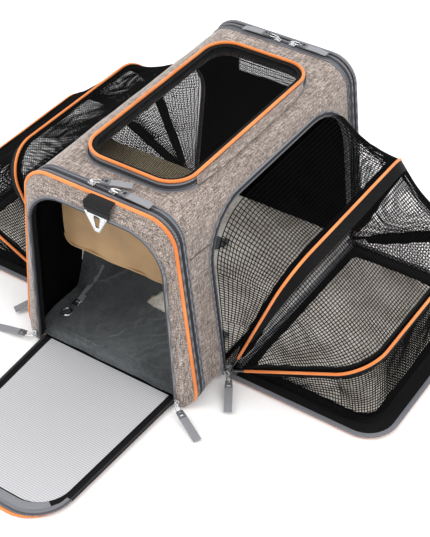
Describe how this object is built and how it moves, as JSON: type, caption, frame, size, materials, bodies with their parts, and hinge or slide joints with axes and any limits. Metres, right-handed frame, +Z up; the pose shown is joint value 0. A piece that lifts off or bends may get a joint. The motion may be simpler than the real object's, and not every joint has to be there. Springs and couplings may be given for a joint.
{
  "type": "soft pet carrier bag",
  "caption": "Soft-sided pet carrier with a loaf-shaped cabin, fold-down front door, mesh roof hatch and wire-hooped mesh sides that fold out to both sides.",
  "frame": {"origin": "middle of the underside of the cabin, on the ground", "axes": "+Z up, +X across the cabin to its right-hand side bay, -Y out through the front door"},
  "size_m": [0.75, 0.709, 0.3063],
  "materials": {
    "heather_cloth": "woven heather polyester over foam",
    "base_cloth": "coated polyester",
    "insert_board": "stiff insert board",
    "dark_fleece": "brushed fleece",
    "light_fleece": "short pile fleece",
    "zip_tape": "woven zip tape with coil",
    "orange_piping": "cord piping over spring wire",
    "grey_binding": "binding tape",
    "spring_steel": "sewn-in spring wire",
    "black_mesh": "open square mesh",
    "tan_nylon": "plain nylon",
    "black_webbing": "woven webbing",
    "ribbed_lining": "fine ribbed lining",
    "plated_metal": "satin nickel plating",
    "pull_ribbon": "ribbon with moulded clip"
  },
  "bodies": {
    "root": {"body_shell": "heather_cloth", "base_panel": "base_cloth", "base_board": "insert_board", "floor_mat": "light_fleece", "fleece_blanket": "dark_fleece", "front_ring": "heather_cloth", "front_ring_zip": "zip_tape", "front_piping": "orange_piping", "front_frame_wire": "spring_steel", "rear_ring_zip": "zip_tape", "rear_panel": "heather_cloth", "rear_window_mesh": "black_mesh", "rear_piping": "grey_binding", "rear_frame_wire": "spring_steel", "right_arch_zip": "zip_tape", "left_arch_zip": "zip_tape", "top_opening_zip": "zip_tape", "hatch_hinge_fold": "heather_cloth", "sunshade_roof": "tan_nylon", "ring_tab": "black_webbing", "safety_tether": "black_webbing", "right_gusset": "black_mesh", "left_gusset": "black_mesh"},
    "sunshade": {"sunshade_drop": "tan_nylon"},
    "front_door": {"door_panel": "heather_cloth", "door_lining": "ribbed_lining", "door_piping": "orange_piping", "door_zip": "grey_binding"},
    "hatch": {"hatch_rim": "zip_tape", "hatch_mesh": "black_mesh", "hatch_piping": "orange_piping"},
    "triangle_ring": {"triangle_ring": "plated_metal"},
    "hatch_slider": {"hatch_slider": "plated_metal"},
    "right_hoop_upper": {"right_hoop_upper": "orange_piping"},
    "right_hoop_lower": {"right_hoop_lower": "orange_piping"},
    "right_panel": {"right_panel": "heather_cloth", "right_panel_pad": "light_fleece", "right_panel_piping": "orange_piping"},
    "left_hoop_upper": {"left_hoop_upper": "orange_piping"},
    "left_hoop_lower": {"left_hoop_lower": "orange_piping"},
    "left_panel": {"left_panel": "heather_cloth", "left_panel_pad": "light_fleece", "left_panel_piping": "orange_piping"},
    "front_left_slider": {"front_left_slider": "plated_metal"},
    "front_left_pull": {"front_left_pull": "pull_ribbon"},
    "front_right_slider": {"front_right_slider": "plated_metal"},
    "front_right_pull": {"front_right_pull": "pull_ribbon"},
    "rear_left_slider": {"rear_left_slider": "plated_metal"},
    "rear_left_pull": {"rear_left_pull": "pull_ribbon"},
    "rear_right_slider": {"rear_right_slider": "plated_metal"},
    "rear_right_pull": {"rear_right_pull": "pull_ribbon"},
    "door_right_slider": {"door_right_slider": "plated_metal"},
    "door_right_pull": {"door_right_pull": "pull_ribbon"},
    "door_left_slider": {"door_left_slider": "plated_metal"},
    "door_left_pull": {"door_left_pull": "pull_ribbon"},
    "right_arch_slider": {"right_arch_slider": "plated_metal"},
    "right_arch_pull": {"right_arch_pull": "pull_ribbon"},
    "left_arch_slider": {"left_arch_slider": "plated_metal"},
    "left_arch_pull": {"left_arch_pull": "pull_ribbon"}
  },
  "joints": [
    {"name": "front_door_fold", "type": "hinge", "parent": "root", "child": "front_door", "pos_m": [0, -0.2215, 0.0065], "axis": [-1, 0, 0], "range_deg": [0, 90]},
    {"name": "hatch_fold", "type": "hinge", "parent": "root", "child": "hatch", "pos_m": [0.09, -0.0075, 0.303], "axis": [0, 1, 0], "range_deg": [0, 170]},
    {"name": "sunshade_swing", "type": "hinge", "parent": "root", "child": "sunshade", "pos_m": [0, -0.1828, 0.2616], "axis": [1, 0, 0], "range_deg": [0, 80]},
    {"name": "triangle_ring_swing", "type": "hinge", "parent": "root", "child": "triangle_ring", "pos_m": [0.0095, -0.2313, 0.2782], "axis": [-1, 0, 0], "range_deg": [0, 100]},
    {"name": "hatch_slider_slide", "type": "slide", "parent": "root", "child": "hatch_slider", "axis": [0, -1, 0], "range_m": [0, 0.12]},
    {"name": "right_gusset_upper_fold", "type": "hinge", "parent": "root", "child": "right_hoop_upper", "pos_m": [0.143, 0, 0.01], "axis": [0, -1, 0], "range_deg": [0, 33.5], "deforming": ["right_gusset"]},
    {"name": "right_gusset_lower_fold", "type": "hinge", "parent": "right_hoop_upper", "child": "right_hoop_lower", "pos_m": [0.143, 0, 0.01], "axis": [0, -1, 0], "range_deg": [0, 39.5], "deforming": ["right_gusset"]},
    {"name": "right_panel_fold", "type": "hinge", "parent": "right_hoop_lower", "child": "right_panel", "pos_m": [0.143, 0, 0.01], "axis": [0, -1, 0], "range_deg": [0, 22.7], "deforming": ["right_gusset"]},
    {"name": "left_gusset_upper_fold", "type": "hinge", "parent": "root", "child": "left_hoop_upper", "pos_m": [-0.143, 0, 0.01], "axis": [0, 1, 0], "range_deg": [0, 33.5], "deforming": ["left_gusset"]},
    {"name": "left_gusset_lower_fold", "type": "hinge", "parent": "left_hoop_upper", "child": "left_hoop_lower", "pos_m": [-0.143, 0, 0.01], "axis": [0, 1, 0], "range_deg": [0, 39.5], "deforming": ["left_gusset"]},
    {"name": "left_panel_fold", "type": "hinge", "parent": "left_hoop_lower", "child": "left_panel", "pos_m": [-0.143, 0, 0.01], "axis": [0, 1, 0], "range_deg": [0, 22.7], "deforming": ["left_gusset"]},
    {"name": "front_left_slide", "type": "slide", "parent": "root", "child": "front_left_slider", "axis": [-1, 0, 0], "range_m": [0, 0.04]},
    {"name": "front_left_pull_swing", "type": "hinge", "parent": "front_left_slider", "child": "front_left_pull", "pos_m": [-0.018, -0.20325, 0.298], "axis": [0.3746, -0.9272, 0], "range_deg": [0, 120]},
    {"name": "front_right_slide", "type": "slide", "parent": "root", "child": "front_right_slider", "axis": [1, 0, 0], "range_m": [0, 0.04]},
    {"name": "front_right_pull_swing", "type": "hinge", "parent": "front_right_slider", "child": "front_right_pull", "pos_m": [0.014, -0.20325, 0.298], "axis": [0, -1, 0], "range_deg": [0, 120]},
    {"name": "rear_left_slide", "type": "slide", "parent": "root", "child": "rear_left_slider", "axis": [-1, 0, 0], "range_m": [0, 0.04]},
    {"name": "rear_left_pull_swing", "type": "hinge", "parent": "rear_left_slider", "child": "rear_left_pull", "pos_m": [-0.004, 0.20325, 0.298], "axis": [0, 1, 0], "range_deg": [0, 120]},
    {"name": "rear_right_slide", "type": "slide", "parent": "root", "child": "rear_right_slider", "axis": [1, 0, 0], "range_m": [0, 0.04]},
    {"name": "rear_right_pull_swing", "type": "hinge", "parent": "rear_right_slider", "child": "rear_right_pull", "pos_m": [0.02, 0.20325, 0.298], "axis": [0, -1, 0], "range_deg": [0, 120]},
    {"name": "door_right_slide", "type": "slide", "parent": "root", "child": "door_right_slider", "axis": [-0.0419, 0, 0.9991], "range_m": [0, 0.17]},
    {"name": "door_right_pull_swing", "type": "hinge", "parent": "door_right_slider", "child": "door_right_pull", "pos_m": [0.119, -0.237, 0.013], "axis": [-0.4553, -0.8903, 0], "range_deg": [0, 90]},
    {"name": "door_left_slide", "type": "slide", "parent": "root", "child": "door_left_slider", "axis": [0.0419, 0, 0.9991], "range_m": [0, 0.17]},
    {"name": "door_left_pull_swing", "type": "hinge", "parent": "door_left_slider", "child": "door_left_pull", "pos_m": [-0.119, -0.237, 0.013], "axis": [-0.091, 0.9959, 0], "range_deg": [0, 90]},
    {"name": "right_arch_slide", "type": "slide", "parent": "root", "child": "right_arch_slider", "axis": [-0.1025, 0, 0.9947], "range_m": [0, 0.15]},
    {"name": "right_arch_pull_swing", "type": "hinge", "parent": "right_arch_slider", "child": "right_arch_pull", "pos_m": [0.14891, -0.1548, 0.01672], "axis": [-0.8503, -0.5264, 0], "range_deg": [0, 90]},
    {"name": "left_arch_slide", "type": "slide", "parent": "root", "child": "left_arch_slider", "axis": [0.1025, 0, 0.9947], "range_m": [0, 0.15]},
    {"name": "left_arch_pull_swing", "type": "hinge", "parent": "left_arch_slider", "child": "left_arch_pull", "pos_m": [-0.14891, -0.1548, 0.01672], "axis": [-0.8503, 0.5264, 0], "range_deg": [0, 90]}
  ],
  "couplings": [
    {"joint": "right_gusset_lower_fold", "follows": "right_gusset_upper_fold", "ratio": 1.179},
    {"joint": "right_panel_fold", "follows": "right_gusset_upper_fold", "ratio": 0.6716},
    {"joint": "left_gusset_lower_fold", "follows": "left_gusset_upper_fold", "ratio": 1.179},
    {"joint": "left_panel_fold", "follows": "left_gusset_upper_fold", "ratio": 0.6716}
  ]
}
